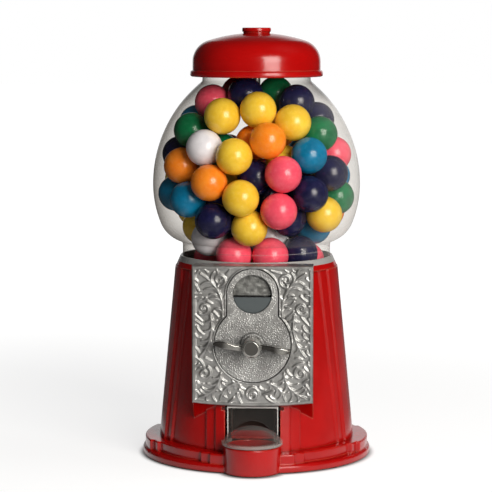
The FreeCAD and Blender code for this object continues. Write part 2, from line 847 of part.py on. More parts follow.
def gumball_wheel():
    disc = turned([
        (hub_post_r + run_gap, floor_z + wheel_gap), (channel_in + wheel_gap, floor_z + wheel_gap),
        (channel_in + wheel_gap, tooth_top), (wheel_r, tooth_top), (wheel_r, wheel_top),
        (hub_post_r + wheel_boss_foot, wheel_top), (hub_post_r + wheel_boss_rim, wheel_boss_top),
        (hub_post_r + run_gap, wheel_boss_top)])
    wheel = fuse_all([disc] + face_teeth())
    for x, y in pocket_places():
        wheel = wheel.cut(post(pocket_r, floor_z, hub_post_top, x, y))
    return wheel


def pocket_places():
    return [on_ring(pocket_ring_r, 360.0 * (number + 0.5) / pockets) for number in range(pockets)]


def ball_guard():
    roof = ring(hub_post_r + guard_hub_gap, bowl_r, guard_z, guard_z + guard_t)
    skirt = ring(bowl_r - guard_skirt_t, bowl_r, guard_z - guard_skirt, guard_z)
    reach = base_r * math.tan(math.radians(guard_half_angle))
    wedge = Part.Face(Part.makePolygon([vec(0, 0, 0), vec(-reach, -base_r, 0), vec(reach, -base_r, 0),
                                        vec(0, 0, 0)])).extrude(vec(0, 0, machine_top))
    return fuse_all([roof, skirt]).common(wedge)


# Chute: a tube under the drop hole, bent forward to the cup
def chute_duct(grow, exit_y):
    side = chute_r + grow
    y_back = -pocket_ring_r + side
    y_front = -pocket_ring_r - side
    drop = (chute_low_z - chute_exit_z) / (-pocket_ring_r + chute_r - chute_exit_y)
    roof = (chute_bend_z - chute_exit_roof) / (-pocket_ring_r - chute_r - chute_exit_y)
    floor_at = chute_low_z - drop * (-pocket_ring_r + chute_r - exit_y)
    roof_at = chute_bend_z - roof * (-pocket_ring_r - chute_r - exit_y)
    outline = [(y_back, chute_bend_z + grow), (y_back, chute_low_z - grow), (exit_y, floor_at - grow),
               (exit_y, roof_at + grow), (y_front, chute_bend_z + grow)]
    return slab_yz(outline, -side, side)


def chute():
    tube = post(chute_r + chute_wall, chute_bend_z, floor_low, 0, -pocket_ring_r)
    outside = tube.fuse(chute_duct(chute_wall, chute_exit_y))
    for x in ear_places():
        ear = post(screw_head_r + ear_edge, floor_low - ear_t, floor_low, x, ear_y)
        bridge = box(min(x, 0), max(x, 0), ear_y - screw_head_r, ear_y + screw_head_r,
                     floor_low - ear_t, floor_low)
        outside = outside.fuse(ear).fuse(bridge)
    inside = post(chute_r, chute_low_z, floor_low + 1, 0, -pocket_ring_r)
    inside = inside.fuse(chute_duct(0, chute_exit_y - duct_overrun))
    tunnel = outside.removeSplitter().cut(inside)
    for x in ear_places():
        tunnel = tunnel.cut(post(screw_r, floor_low - 3, floor_low + 1, x, ear_y))
    return tunnel


def chute_screws():
    head_z = floor_low - ear_t - screw_head_h
    return Part.makeCompound([pan_screw(head_z, ear_screw_tip, x, ear_y) for x in ear_places()])


# Door: clear flap with a domed hood over the cup, hung on two pins
def hood_shell():
    base = hood_rise_z
    rise = hood_crown - base
    ball_out = (hood_r ** 2 + rise ** 2) / (2 * rise)
    centre = vec(0, cup_y, hood_crown - ball_out)
    dome = Part.makeSphere(ball_out, centre).cut(Part.makeSphere(ball_out - door_t, centre))
    dome = dome.common(post(hood_r, base - door_t, hood_crown + 1, 0, cup_y))
    rim_low = cup_top + hood_gap
    rim = post(hood_r, rim_low, rim_low + hood_rim_h, 0, cup_y)
    rim = rim.makeFillet(hood_round, edges_where(rim, at_height(rim_low)))
    rim = rim.cut(post(cup_inner_r, rim_low - 1, rim_low + hood_rim_h + 1, 0, cup_y))
    return fuse_all([dome, rim])


def chute_door():
    panel_back = hinge_y + door_t
    hood = hood_shell().common(box(-base_r, base_r, -2 * base_r, panel_back, 0, hood_crown + 1))
    side = opening_half - 2 * mech_gap
    body_front = -pilaster_foot_r - mech_gap
    for x0, x1 in ((-base_r, -side), (side, base_r)):
        hood = hood.cut(box(x0, x1, body_front, 0, 0, hood_crown + 1))
    panel = box(-door_half, door_half, hinge_y, panel_back, cup_top + hood_gap, hinge_z)
    arch_z = hood_rise_z - hood_rim_h
    arch = rod_y(door_arch_r, hinge_y - 1, panel_back + 1, 0, arch_z)
    panel = panel.cut(arch).cut(box(-door_arch_r, door_arch_r, hinge_y - 1, panel_back + 1, 0, arch_z))
    knuckle = rod_x(hinge_knuckle_r, -door_half, door_half, hinge_y, hinge_z)
    pin = rod_x(hinge_pin_r, -hinge_pin_reach, hinge_pin_reach, hinge_y, hinge_z)
    return fuse_all([hood, panel, knuckle, pin])


# Globe: tangent arcs, so the inside is the same outline with other radii
def arc(centre_r, centre_z, radius, start, end):
    # an arc in the XZ half plane, angles in degrees above the outward direction
    def at(angle):
        turn = math.radians(angle)
        return vec(centre_r + radius * math.cos(turn), 0, centre_z + radius * math.sin(turn))
    return Part.Arc(at(start), at((start + end) / 2), at(end)).toShape()


def globe_side(inset):
    # arcs from the lower neck up to the top neck, set in by the wall
    corner_z = globe_mid_z - corner_drop
    low_angle = math.degrees(math.atan2(low_rise, low_x - corner_x))
    top_angle = math.degrees(math.atan2(top_rise, top_x - crown_x))
    return [
        arc(low_x, corner_z - low_rise, neck_fillet + inset, 180, 180 - low_angle),
        arc(corner_x, corner_z, corner_r - inset, -low_angle, -corner_angle),
        arc(0, globe_mid_z, globe_r - inset, -corner_angle, 0),
        arc(crown_x, globe_mid_z, crown_r - inset, 0, top_angle),
        arc(top_x, globe_mid_z + top_rise, top_fillet + inset, 180 + top_angle, 180)]


def globe():
    outer = globe_side(0)
    inner = globe_side(globe_wall)
    low_out, low_in = vec(neck_r, 0, neck_z), vec(neck_r - globe_wall, 0, neck_z)
    top_out, top_in = vec(top_neck_r, 0, top_neck_z), vec(top_neck_r - globe_wall, 0, top_neck_z)
    edges = [Part.makeLine(low_in, low_out), Part.makeLine(low_out, outer[0].Vertexes[0].Point)]
    edges += outer
    edges += [Part.makeLine(outer[-1].Vertexes[-1].Point, top_out), Part.makeLine(top_out, top_in),
              Part.makeLine(top_in, inner[-1].Vertexes[-1].Point)]
    edges += inner[::-1]
    edges.append(Part.makeLine(inner[0].Vertexes[0].Point, low_in))
    return turned_edges(Part.__sortEdges__(edges))


# Lid, its ring and gasket, the knob and the rod that ties the machine together
lid_seat_z = top_neck_z + lid_gasket_t
lid_crown_r = (lid_r - lid_corner_r) ** 2 + (lid_top - lid_corner_z) ** 2 - lid_corner_r ** 2
lid_crown_r = lid_crown_r / (2 * (lid_top - lid_corner_z - lid_corner_r))


def lid_face(inset):
    # skirt, shoulder arc and shallow crown, set in by the wall
    corner_x = lid_r - lid_corner_r
    centre_z = lid_top - lid_crown_r
    angle = math.degrees(math.atan2(lid_corner_z - centre_z, corner_x))
    low = vec(lid_r - inset, 0, lid_rim_z)
    shoulder = arc(corner_x, lid_corner_z, lid_corner_r - inset, 0, angle)
    crown = arc(0, centre_z, lid_crown_r - inset, angle, 90)
    peak = crown.Vertexes[-1].Point
    return [Part.makeLine(low, shoulder.Vertexes[0].Point), shoulder, crown,
            Part.makeLine(peak, vec(0, 0, lid_rim_z)), Part.makeLine(vec(0, 0, lid_rim_z), low)]


def lid():
    dome = turned_edges(lid_face(0))
    hollow = turned_edges(lid_face(lid_wall))
    bead_r = lid_bead_h / 2
    bead = ring(lid_r - lid_wall, lid_rim_r, lid_rim_z, lid_rim_z + lid_bead_h)
    round_edges = edges_where(bead, lambda e: abs(e.BoundBox.XMax - lid_rim_r) < 1e-3
                              and e.BoundBox.ZLength < 1e-3)
    bead = bead.makeFillet(0.65 * bead_r, round_edges)
    seat = ring(top_neck_r - globe_wall, top_neck_r + lid_seat_grip, lid_seat_z, lid_corner_z + lid_corner_r)
    shell = dome.cut(hollow)
    shell = fuse_all([shell, bead, seat.common(dome)])
    shell = shell.cut(post(knob_seat_r, knob_seat_z, lid_top + 1))
    return shell.cut(post(rod_hole_r, lid_rim_z, lid_top))


def lid_gasket():
    return ring(top_neck_r - globe_wall + lid_gasket_play, top_neck_r, top_neck_z, lid_seat_z)


def lid_knob():
    low = post(knob_waist_r, knob_seat_z, knob_step_z)
    high = post(knob_r, knob_step_z, knob_top)
    high = high.makeFillet(knob_round, high.Edges[:1] + high.Edges[2:])
    knob = fuse_all([low, high])
    return knob.cut(post(rod_r + run_gap, knob_seat_z - 1, rod_top + mech_gap))


def tie_rod():
    return post(rod_r, rod_bottom, rod_top)


def base_nut():
    corners = [vec(*on_ring(nut_r, 60 * number), cover_z + dish_rise - nut_h) for number in range(6)]
    face = Part.Face(Part.makePolygon(corners + corners[:1]))
    return face.extrude(vec(0, 0, nut_h)).cut(post(rod_r, 0, machine_top))


# Gumballs: those that show at the front are placed as (colour, across, up, behind the glass),
# in ball diameters from the middle of the globe's widest ring.
# The rest start on rings behind them, and all are then pushed apart inside the glass.
ball_gap = 0.1
wall_step = 1.0
packing_rounds = 1300
settle_pull = 0.25
layer_share = 0.80
ring_share = 1.04
place_step = 0.25
first_lift = 1.0
skip_share = 1.45
shown_balls = [
    ("pink", -0.98, 1.96, 0.00), ("red", -0.64, 2.43, 0.00), ("navy", 0.21, 2.47, 0.00),
    ("green", 0.85, 2.34, 0.26), ("navy", 1.02, 1.96, 0.00), ("yellow", 0.13, 1.62, 0.00),
    ("yellow", 1.23, 1.11, 0.00), ("yellow", -0.55, 1.15, 0.43), ("white", -0.68, 0.55, 0.00),
    ("green", -1.49, 1.15, 0.51), ("blue", -1.87, 1.36, 0.00), ("navy", -2.13, 0.77, 0.00),
    ("orange", -2.13, 0.00, 0.00), ("orange", -1.40, -0.13, 0.00), ("green", -1.36, 0.51, 0.60),
    ("blue", -2.09, -0.81, 0.00), ("navy", -1.53, -1.02, 0.13), ("yellow", -0.64, -0.81, 0.00),
    ("yellow", -0.21, -0.13, 0.00), ("orange", 0.51, 0.43, 0.00), ("orange", 0.17, 0.81, 0.55),
    ("orange", 0.68, 1.40, 0.51), ("blue", 1.36, 0.26, 0.51), ("green", 2.04, 0.89, 0.00),
    ("navy", 1.74, 1.62, 0.00), ("pink", 2.13, 0.60, 0.51), ("navy", 2.13, -0.13, 0.00),
    ("pink", 1.15, -0.34, 0.00), ("pink", 0.34, -1.02, 0.00), ("pink", 0.94, -1.53, 0.00),
    ("pink", -0.55, -1.62, 0.00), ("navy", 1.66, -0.81, 0.00), ("navy", 1.36, -1.49, 0.26),
    ("yellow", 2.09, -0.77, 0.00), ("navy", 0.43, -0.30, 0.60), ("pink", 1.45, 1.83, 0.43),
    ("white", -1.36, -1.70, 0.00)]
hidden_colours = ("yellow", "navy", "pink", "orange", "green", "blue",
                  "yellow", "red", "pink", "white", "navy")
fill_height = 2.0


def glass_points():
    # the inside of the bowl, neck and globe as (radius, height) points
    side = globe_side(globe_wall)
    neck_end = side[0].Vertexes[0].Point
    bowl = Part.makeLine(vec(bowl_r, 0, wheel_top), vec(bowl_r, 0, neck_z))
    neck = Part.makeLine(vec(neck_r - globe_wall, 0, neck_z), neck_end)
    points = []
    for edge in [bowl, neck] + side:
        points += [(p.x, p.z) for p in edge.discretize(Distance=wall_step)]
    return points


def room_at(z, wall):
    # the largest radius at which a ball's centre fits at this height
    reach = 0.0
    need = (ball_r + ball_gap) ** 2
    while min((reach - r) ** 2 + (z - h) ** 2 for r, h in wall) > need:
        reach += place_step
    return reach


def keep_inside(ball, wall):
    # push one ball off the glass, the rod, the guard, the lid and the sweep of the pocket balls
    x, y, z = ball
    rho = max(math.hypot(x, y), 1e-6)
    new_rho, new_z = rho, z
    r, h = min(wall, key=lambda p: (p[0] - rho) ** 2 + (p[1] - z) ** 2)
    gap = math.hypot(rho - r, z - h)
    if gap < ball_r + ball_gap:
        push = (ball_r + ball_gap - gap) / max(gap, 1e-6)
        new_rho += (rho - r) * push
        new_z += (z - h) * push
    sweep = math.hypot(rho - pocket_ring_r, z - floor_z - ball_r)
    clear = 2 * ball_r + wheel_gap
    if sweep < clear:
        new_z += clear - sweep
    over_guard = abs(math.degrees(math.atan2(x, -y))) < guard_half_angle + guard_clear_angle
    lowest = guard_z + guard_t if over_guard else wheel_top
    new_z = max(new_z, lowest + ball_r + ball_gap)
    new_z = min(new_z, lid_rim_z - ball_r)
    new_rho = max(new_rho, rod_r + ball_r + ball_gap)
    ball[0] = x * new_rho / rho
    ball[1] = y * new_rho / rho
    ball[2] = new_z


def push_apart(balls):
    # move each pair that overlaps apart, and give back the deepest overlap
    deepest = 0.0
    need = 2 * ball_r + ball_gap
    for number, a in enumerate(balls):
        for b in balls[:number]:
            dx, dy, dz = a[0] - b[0], a[1] - b[1], a[2] - b[2]
            square = dx * dx + dy * dy + dz * dz
            if square < need * need:
                apart = math.sqrt(square)
                share = 0.5 * (need - apart) / apart
                deepest = max(deepest, need - apart)
                for axis, delta in enumerate((dx, dy, dz)):
                    a[axis] += share * delta
                    b[axis] -= share * delta
    return deepest


def first_places(wall):
    shown = []
    for colour, across, up, behind in shown_balls:
        x = 2 * ball_r * across
        z = globe_mid_z + 2 * ball_r * up
        room = room_at(z, wall)
        depth = math.sqrt(max(room ** 2 - x ** 2, 0))
        shown.append([x, 2 * ball_r * behind - depth, z])
    colours = [entry[0] for entry in shown_balls]
    hidden = []
    z = guard_z + guard_t + ball_r + first_lift
    layer = 0
    while z < globe_mid_z + 2 * ball_r * fill_height:
        rho = room_at(z, wall)
        while rho > rod_r + ball_r:
            count = int(2 * math.pi * rho / (2 * ball_r * ring_share))
            for number in range(count):
                turn = 2 * math.pi * (number + 0.5 * (layer % 2)) / count
                place = [rho * math.sin(turn), rho * math.cos(turn), z]
                near = min(math.dist(place, other) for other in shown)
                if near > skip_share * ball_r:
                    hidden.append(place)
            rho -= 2 * ball_r * ring_share
        z += 2 * ball_r * layer_share
        layer += 1
    colours += [hidden_colours[number % len(hidden_colours)] for number in range(len(hidden))]
    return shown, hidden, colours


def packed_balls():
    wall = glass_points()
    shown, hidden, colours = first_places(wall)
    balls = shown + hidden
    for turn in range(packing_rounds):
        settling = turn < packing_rounds / 2
        for ball in hidden:
            ball[2] -= settle_pull if settling else 0
        deepest = push_apart(balls)
        for ball in balls:
            keep_inside(ball, wall)
        if not settling and deepest < ball_gap / 2:
            break
    print("gumballs", len(balls), "deepest overlap", round(deepest - ball_gap, 3))
    return list(zip(colours, balls))


def gumballs(colour, packed):
    places = [place for name, place in packed if name == colour]
    return Part.makeCompound([Part.makeSphere(ball_r, vec(*place)) for place in places])


def pocket_gumballs():
    return Part.makeCompound([Part.makeSphere(ball_r, vec(x, y, floor_z + wheel_gap + ball_r))
                              for x, y in pocket_places()])


def main():
    os.makedirs("parts", exist_ok=True)
    makers = [
        base_casting, body_casting, bottom_cover, coin_plug, rubber_feet, cover_screws, body_screws,
        coin_plate, plate_screws, mech_screws, coin_guide, mech_plate, shaft_bushing,
        handle, handle_shaft, coin_wheel, ratchet_wheel, drive_gear, shaft_clip, pawl, pawl_pin, pawl_spring,
        hopper, globe_gasket, gumball_wheel, pocket_gumballs, ball_guard, chute, chute_screws, chute_door,
        globe, lid, lid_gasket, lid_knob, tie_rod, base_nut]
    solids = {maker.__name__: maker() for maker in makers}
    packed = packed_balls()
    for colour in sorted(set(name for name, place in packed)):
        solids["gumballs_" + colour] = gumballs(colour, packed)
    for name, shape in solids.items():
        shape.translate(vec(0, axis_shift, 0))
        shape.exportStep("parts/" + name + ".step")
        print(name, shape.isValid(), len(shape.Solids), round(shape.Volume, 1))


main()
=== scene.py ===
import math
import random
import bpy
import numpy as np
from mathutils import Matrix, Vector


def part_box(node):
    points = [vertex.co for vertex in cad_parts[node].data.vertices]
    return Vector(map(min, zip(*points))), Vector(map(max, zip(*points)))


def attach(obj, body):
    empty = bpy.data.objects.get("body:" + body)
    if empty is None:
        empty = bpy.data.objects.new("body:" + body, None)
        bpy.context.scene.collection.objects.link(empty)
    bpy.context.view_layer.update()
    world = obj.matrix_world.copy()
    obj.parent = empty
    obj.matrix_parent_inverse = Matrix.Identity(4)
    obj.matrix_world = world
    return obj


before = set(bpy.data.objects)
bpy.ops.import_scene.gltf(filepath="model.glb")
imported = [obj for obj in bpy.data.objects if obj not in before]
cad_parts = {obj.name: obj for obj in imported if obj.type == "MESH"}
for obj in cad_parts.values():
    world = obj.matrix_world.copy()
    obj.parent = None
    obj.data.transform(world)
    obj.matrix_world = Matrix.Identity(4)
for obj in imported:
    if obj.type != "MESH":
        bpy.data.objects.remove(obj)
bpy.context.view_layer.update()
mm = 0.001
rodLow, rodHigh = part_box("tie_rod")
axisY = (rodLow.y + rodHigh.y) / 2  # the machine's upright axis
print("frame:", len(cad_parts), "solids loaded")


def hexColour(text):  # "#rrggbb" as it looks on screen, to linear
    parts = [int(text[i:i + 2], 16) / 255 for i in (1, 3, 5)]
    return [p / 12.92 if p < 0.04045 else ((p + 0.055) / 1.055) ** 2.4 for p in parts] + [1]


class Wire:
    # a shader socket that takes part in sums; each operator adds the node it needs
    def __init__(self, finish, socket):
        self.finish = finish
        self.socket = socket

    def maths(self, operation, *terms):
        if any(isinstance(t, Wire) and t.socket.type == "VECTOR" for t in terms):
            terms = [t if isinstance(t, Wire) else (t, t, t) for t in terms]
            return self.finish.add("VectorMath", {"operation": operation}, dict(enumerate(terms)))
        return self.finish.add("Math", {"operation": operation}, dict(enumerate(terms)))

    def __add__(self, other):
        return self.maths("ADD", self, other)

    def __radd__(self, other):
        return self.maths("ADD", other, self)

    def __sub__(self, other):
        return self.maths("SUBTRACT", self, other)

    def __rsub__(self, other):
        return self.maths("SUBTRACT", other, self)

    def __mul__(self, other):
        return self.maths("MULTIPLY", self, other)

    def __rmul__(self, other):
        return self.maths("MULTIPLY", other, self)

    def __pow__(self, other):
        return self.maths("POWER", self, other)

    def __lt__(self, other):
        return self.maths("LESS_THAN", self, other)

    def __gt__(self, other):
        return self.maths("GREATER_THAN", self, other)

    def orElse(self, other):  # the larger of two masks
        return self.maths("MAXIMUM", self, other)


edgeTurn = (0.02, 0.25)  # 1 - cosine of the turn at which an edge starts to show, and is full


class Finish:
    # the node tree of one material, or of the world
    def __init__(self, owner):
        owner.use_nodes = True
        self.owner = owner
        self.tree = owner.node_tree
        self.tree.nodes.clear()

    def add(self, kind, settings=None, inputs=None, output=0):  # any node; its settings come first
        node = self.tree.nodes.new("ShaderNode" + kind)
        for name, value in (settings or {}).items():
            setattr(node, name, value)
        for name, value in (inputs or {}).items():
            if isinstance(value, Wire):
                self.tree.links.new(value.socket, node.inputs[name])
            else:
                node.inputs[name].default_value = value
        return Wire(self, node.outputs[output])

    def where(self):  # the point on the piece, in metres
        return self.add("TexCoord", output="Object")

    def axes(self):
        parts = self.add("SeparateXYZ", None, {0: self.where()})
        return [Wire(self, s) for s in parts.socket.node.outputs]

    def noise(self, size, detail=2.0, rough=0.5):  # size of a blotch in mm
        values = {"Vector": self.where(), "Scale": 1 / (size * mm), "Detail": detail, "Roughness": rough}
        return self.add("TexNoise", None, values)

    def cells(self, size):  # distance from the middle of a cell, its size in mm
        return self.add("TexVoronoi", None, {"Vector": self.where(), "Scale": 1 / (size * mm)})

    def band(self, value, low, high):  # 0 below low, 1 above high
        return self.add("MapRange", {"interpolation_type": "SMOOTHSTEP"},
                        {"Value": value, "From Min": low, "From Max": high})

    def mix(self, factor, *colours):  # two colours, each a wire or "#rrggbb"
        first, second = [hexColour(c) if isinstance(c, str) else c for c in colours]
        return self.add("Mix", {"data_type": "RGBA"}, {0: factor, 6: first, 7: second}, 2)

    def softEdge(self, radius):  # the normal with edges rounded by radius mm
        return self.add("Bevel", {"samples": 4}, {"Radius": radius * mm})

    def edges(self, radius):  # 1 on sharp edges, 0 on flats
        rounded = self.softEdge(radius)
        plain = self.add("NewGeometry", output="Normal")
        turned = self.add("VectorMath", {"operation": "DOT_PRODUCT"}, {0: rounded, 1: plain}, "Value")
        return self.band(1 - turned, *edgeTurn)

    def hollows(self, reach):  # towards 1 in corners and recesses within reach mm
        return 1 - self.add("AmbientOcclusion", {"samples": 6}, {"Distance": reach * mm}, "AO")

    def bump(self, height, depth, normal=None):  # depth in mm at height 1
        inputs = {"Height": height, "Distance": depth * mm, "Strength": 1.0}
        if normal:
            inputs["Normal"] = normal
        return self.add("Bump", None, inputs)

    def rays(self, kind):  # 1 for rays of this kind
        return self.add("LightPath", output="Is " + kind + " Ray")

    def outline(self):  # 0 where the surface faces the eye, 1 along its outline
        return self.add("LayerWeight", None, {"Blend": 0.5}, "Facing")

    def clear(self, colour):  # lets light straight through, tinted
        return self.add("BsdfTransparent", None, {"Color": hexColour(colour)})

    def blend(self, factor, first, second):  # of two shaders
        return self.add("MixShader", None, {0: factor, 1: first, 2: second})

    def skin(self, **inputs):  # the Principled shader, its sockets named in camelCase
        named = {}
        for name, value in inputs.items():
            words = "".join(" " + c if c.isupper() else c for c in name)
            named[words.title().replace("Ior", "IOR")] = value
        return self.add("BsdfPrincipled", None, named)

    def finish(self, surface):
        kind = "OutputWorld" if isinstance(self.owner, bpy.types.World) else "OutputMaterial"
        output = self.tree.nodes.new("ShaderNode" + kind)
        self.tree.links.new(surface.socket, output.inputs["Surface"])
        return self.owner


def newFinish(name):
    return Finish(bpy.data.materials.new(name))


# studio: the photograph's camera, lamps, floor and white surroundings; places in metres
studio = {
    "lens": 149.1, "sensor": 36.0, "azimuth": 2.6, "distance": 1.3352, "height": 0.2832,
    "pitch": 0.1092, "slide": -0.0069, "floorWidth": 16.0, "roomLight": 0.105, "roomShine": 0.025,
    "floorColour": "#acacac", "floorGlow": 0.76, "glowStart": 0.20, "glowEnd": 0.85,
    "sheetStart": 0.09, "sheetEnd": 0.22, "backdropStart": 0.88, "backdropEnd": 0.99,
    "contacts": [(axisY, 0.0735), (-0.0600, 0.0190)],  # middle y and radius of what stands on the floor
    "contactWidth": 0.006,
    "lamps": [  # name, place, aim, width, height, watts, colour
        ("keyLamp", (0.70, -1.225, 0.56), (0.0, 0.0, 0.08), 0.74, 0.86, 24.6, "#fffcf6"),
        ("topLamp", (0.75, -0.05, 1.25), (0.0, 0.0, 0.12), 0.70, 0.70, 3.0, "#ffffff"),
    ],
    "mirrored": "keyLamp",  # the one lamp that shows in gloss
}


def addLamp(name, place, aim, width, height, watts, colour):
    data = bpy.data.lights.new(name, "AREA")
    data.shape = "RECTANGLE"
    data.size = width
    data.size_y = height
    data.energy = watts
    data.color = hexColour(colour)[:3]
    lamp = bpy.data.objects.new(name, data)
    lamp.location = place
    lamp.visible_glossy = name == studio["mirrored"]
    lamp.rotation_euler = (Vector(aim) - Vector(place)).to_track_quat("-Z", "Y").to_euler()
    bpy.context.scene.collection.objects.link(lamp)


def addCamera():
    turn = math.radians(studio["azimuth"])
    away = Vector((math.sin(turn), -math.cos(turn), 0))
    aside = Vector((math.cos(turn), math.sin(turn), 0))
    data = bpy.data.cameras.new("camera")
    data.lens = studio["lens"]
    data.sensor_width = studio["sensor"]
    eye = bpy.data.objects.new("camera", data)
    above = Vector((0, axisY, studio["height"]))
    eye.location = above + away * studio["distance"] + aside * studio["slide"]
    eye.rotation_euler = (math.pi / 2 - studio["pitch"], 0, turn)
    bpy.context.scene.collection.objects.link(eye)
    bpy.context.scene.camera = eye


def addFloor():
    half = studio["floorWidth"] / 2
    mesh = bpy.data.meshes.new("floor")
    corners = [(-half, -half, 0), (half, -half, 0), (half, half, 0), (-half, half, 0)]
    mesh.from_pydata(corners, [], [(0, 1, 2, 3)])
    floor = bpy.data.objects.new("floor", mesh)
    bpy.context.scene.collection.objects.link(floor)
    paper = newFinish("floorPaper")
    lit = paper.add("BsdfDiffuse", None, {"Color": hexColour(studio["floorColour"])})
    x, y, z = paper.axes()
    away = (x * x + y * y) ** 0.5
    far = paper.band(away, studio["glowStart"], studio["glowEnd"])
    # painted shade and real shadow: no glow below the machine or in a thin ring round its footprint, so the
    # floor there shows only its lamp-lit colour and the machine's shadow
    under = 0.0  # no glow below the machine, which leaves its contact shadow
    for middle, radius in studio["contacts"]:
        fromMiddle = (x * x + (y - middle) ** 2) ** 0.5
        under = (1 - paper.band(fromMiddle, radius, radius + studio["contactWidth"])).orElse(under)
    # in gloss the white sheet ends a little way from the machine
    shine = paper.rays("Glossy") * (1 - paper.band(away, studio["sheetStart"], studio["sheetEnd"]))
    seen = paper.rays("Camera").orElse(paper.rays("Transmission")).orElse(shine)
    near = studio["floorGlow"]
    glow = paper.add("Emission", None, {"Strength": seen * (near + (1 - near) * far) * (1 - under)})
    mesh.materials.append(paper.finish(paper.add("AddShader", None, {0: lit, 1: glow})))


def addWorld():
    world = bpy.data.worlds.new("surroundings")
    air = Finish(world)
    shine = air.rays("Glossy")
    room = studio["roomLight"] + shine * (studio["roomShine"] - studio["roomLight"])
    # white everywhere to the camera and through glass; gloss shows it where the backdrop stands
    heading = air.add("SeparateXYZ", None, {0: air.add("TexCoord", output="Generated")}, "Y")
    backdrop = shine * air.band(heading, studio["backdropStart"], studio["backdropEnd"])
    seen = air.rays("Camera").orElse(air.rays("Transmission")).orElse(backdrop)
    air.finish(air.add("Background", None, {"Color": (1, 1, 1, 1), "Strength": room + (1 - room) * seen}))
    bpy.context.scene.world = world


addCamera()
for lamp in studio["lamps"]:
    addLamp(*lamp)
addFloor()
addWorld()
bpy.context.scene.view_settings.view_transform = "Standard"
print("studio: camera,", len(studio["lamps"]), "lamps and floor")


# finishes: sizes, depths and reaches in mm, a range is where a mask starts and where it is full
enamel = {
    "red": "#b20807", "deep": "#a40605", "thin": "#e8604a", "shadow": "#3c0202",
    "cloud": 28.0, "cloudRange": (0.35, 0.7), "peel": 1.5, "peelDepth": 0.012,
    "speck": 0.9, "speckRange": (0.68, 0.74), "speckDepth": 0.3, "rounding": 1.4,
    "worn": 1.3, "wornShare": 0.7, "hollow": 3.0, "hollowShadeShare": 0.55,
    "rough": 0.14, "roughCloud": 0.1, "shine": 0.45,
}


def enamelSkin(paint):
    # sprayed gloss with a fine peel; its edges pale, partly thin paint and partly a painted highlight;
    # painted shade darkens its corners
    cloud = paint.noise(enamel["cloud"], detail=3)
    peel = paint.noise(enamel["peel"], detail=2)
    specks = paint.band(paint.noise(enamel["speck"], detail=1), *enamel["speckRange"])
    shade = paint.mix(paint.band(cloud, *enamel["cloudRange"]), enamel["deep"], enamel["red"])
    # painted highlight, partly thin paint: sharp edges mixed towards a paler red
    shade = paint.mix(paint.edges(enamel["worn"]) * enamel["wornShare"], shade, enamel["thin"])
    # painted shade: corners and recesses darkened towards the shadow colour
    shade = paint.mix(paint.hollows(enamel["hollow"]) * enamel["hollowShadeShare"], shade, enamel["shadow"])
    height = peel - specks * enamel["speckDepth"]
    normal = paint.bump(height, enamel["peelDepth"], paint.softEdge(enamel["rounding"]))
    return paint.skin(baseColor=shade, roughness=enamel["rough"] + enamel["roughCloud"] * cloud,
                      specularIorLevel=enamel["shine"], normal=normal)


def redEnamel():
    paint = newFinish("redEnamel")
    return paint.finish(enamelSkin(paint))


castMetal = {
    "bright": "#b4b3b1", "dull": "#908f8d", "pit": "#242322", "lip": "#697072",
    "cloud": 9.0, "cloudRange": (0.3, 0.7), "grain": 0.55, "grainDepth": 0.05, "rounding": 0.35,
    "pits": 1.6, "pitRange": (0.12, 0.75), "shadeShare": 0.6,
    "bossShade": 16.0, "bossRange": (0.12, 0.65), "lipShade": 5.0, "lipRange": (0.2, 0.8),
    "metal": 0.8, "bossDulling": 0.25, "rough": 0.28, "roughGrain": 0.2,
    "dots": 1.15, "dotRange": (0.0, 0.6), "stipple": 0.2, "bossReach": 0.4, "lipDepth": 0.8,
    "ripple": 1.3, "rippleDepth": 0.06,
}


def castSkin(paint, stipple, boss=0.0, lip=0.0):
    # a die casting, dull in its hollows; what stands on the boss shades it, a painted shadow, and painted
    # shade darkens the lip in its window
    cloud = paint.noise(castMetal["cloud"], detail=4, rough=0.6)
    grain = paint.noise(castMetal["grain"], detail=3)
    pits = paint.band(paint.hollows(castMetal["pits"]), *castMetal["pitRange"])
    bossShade = paint.band(paint.hollows(castMetal["bossShade"]), *castMetal["bossRange"]) * boss
    lipShade = paint.band(paint.hollows(castMetal["lipShade"]), *castMetal["lipRange"]) * lip
    shade = paint.mix(paint.band(cloud, *castMetal["cloudRange"]), castMetal["dull"], castMetal["bright"])
    shade = paint.mix(lip, shade, castMetal["lip"])
    shade = paint.mix(pits, shade, castMetal["pit"])
    # painted shadow of the handle on the boss, and painted shade in the lip
    shade = paint.mix(bossShade * castMetal["shadeShare"], shade, castMetal["pit"])
    shade = paint.mix(lipShade * castMetal["shadeShare"], shade, castMetal["pit"])
    height = grain * castMetal["grainDepth"] + stipple
    normal = paint.bump(height, 1.0, paint.softEdge(castMetal["rounding"]))
    return paint.finish(paint.skin(
        baseColor=shade, metallic=castMetal["metal"] - castMetal["bossDulling"] * boss,
        roughness=castMetal["rough"] + castMetal["roughGrain"] * grain, normal=normal))


def plateMetal():
    # fine round stipple on the raised keyhole only, and a darker lip in its window
    paint = newFinish("plateMetal")
    x, y, z = paint.axes()
    plate = reliefLayout
    disc = (x * x + (z - plate["discZ"] * mm) ** 2) < (plate["discR"] * mm) ** 2
    fromHead = x * x + (z - plate["headZ"] * mm) ** 2
    head = fromHead < (plate["headR"] * mm) ** 2
    boss = disc.orElse(head) * (y < discFront + castMetal["bossReach"] * mm)
    lip = (fromHead < (plate["windowR"] * mm) ** 2) * (y > discFront + castMetal["lipDepth"] * mm)
    dots = 1 - paint.band(paint.cells(castMetal["dots"]), *castMetal["dotRange"])
    return castSkin(paint, boss * dots * castMetal["stipple"], boss, lip)


def reliefMetal():
    paint = newFinish("reliefMetal")
    return castSkin(paint, paint.noise(castMetal["ripple"], detail=1) * castMetal["rippleDepth"])


